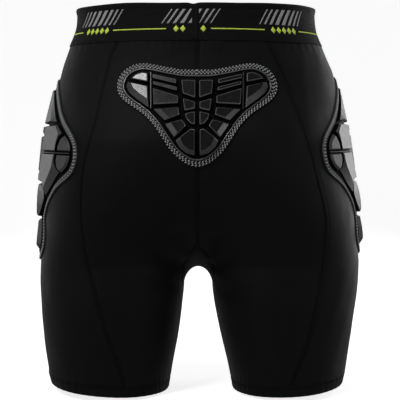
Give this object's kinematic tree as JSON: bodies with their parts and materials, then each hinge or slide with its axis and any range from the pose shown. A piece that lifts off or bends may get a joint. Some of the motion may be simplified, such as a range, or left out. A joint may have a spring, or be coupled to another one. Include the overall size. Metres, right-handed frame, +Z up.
{
  "type": "padded impact shorts",
  "caption": "Close-fitting stretch shorts for skiing and snowboarding with an elastic waistband, a moulded tailbone pad and moulded hip and thigh pads.",
  "frame": {"origin": "midway between the legs, under the middle of the whole depth, level with the lowest edge of the hems", "axes": "+Z up, +Y towards the front of the wearer, +X towards the wearer's right"},
  "size_m": [0.393, 0.2557, 0.45],
  "materials": {
    "knit": "smooth taut black stretch knit with a slight sheen",
    "elastic": "soft brushed black elastic with grey and yellow-green woven marks",
    "thread": "black flatlock and coverstitch thread",
    "pad_skin": "glossy dark grey moulded pad skin with flex grooves",
    "pad_foam": "closed-cell foam",
    "mesh": "black mesh lining",
    "pad_thread": "light grey zigzag thread",
    "label": "plain white woven tape, blank"
  },
  "bodies": {
    "pelvis": {"waistband": "elastic", "waistband_join": "thread", "waistband_seam": "thread", "inner_label": "label", "crotch_gusset": "knit", "centre_back_seam": "thread", "centre_front_seam": "thread", "tailbone_pad_shell": "pad_skin", "tailbone_pad_foam": "pad_foam", "tailbone_pad_lining": "mesh", "tailbone_pad_stitching": "pad_thread", "back_panel_left": "knit", "side_panel_left": "knit", "front_panel_left": "knit", "side_back_seam_left": "thread", "side_front_seam_left": "thread", "inseam_left": "thread", "gusset_seam_left": "thread", "back_panel_right": "knit", "side_panel_right": "knit", "front_panel_right": "knit", "side_back_seam_right": "thread", "side_front_seam_right": "thread", "inseam_right": "thread", "gusset_seam_right": "thread"},
    "left_leg": {"leg_hem_left": "knit", "hem_stitch_left": "thread", "hip_pad_shell_left": "pad_skin", "hip_pad_foam_left": "pad_foam", "hip_pad_lining_left": "mesh", "hip_pad_stitching_left": "pad_thread"},
    "right_leg": {"leg_hem_right": "knit", "hem_stitch_right": "thread", "hip_pad_shell_right": "pad_skin", "hip_pad_foam_right": "pad_foam", "hip_pad_lining_right": "mesh", "hip_pad_stitching_right": "pad_thread"}
  },
  "joints": [
    {"name": "left_leg_flex", "type": "hinge", "parent": "pelvis", "child": "left_leg", "pos_m": [-0.1, 0.02, 0.24], "axis": [1, 0, 0], "range_deg": [-15, 45], "deforming": ["back_panel_left", "side_panel_left", "front_panel_left", "side_back_seam_left", "side_front_seam_left", "inseam_left", "gusset_seam_left", "crotch_gusset"]},
    {"name": "right_leg_flex", "type": "hinge", "parent": "pelvis", "child": "right_leg", "pos_m": [0.1, 0.02, 0.24], "axis": [1, 0, 0], "range_deg": [-15, 45], "deforming": ["back_panel_right", "side_panel_right", "front_panel_right", "side_back_seam_right", "side_front_seam_right", "inseam_right", "gusset_seam_right"]}
  ]
}
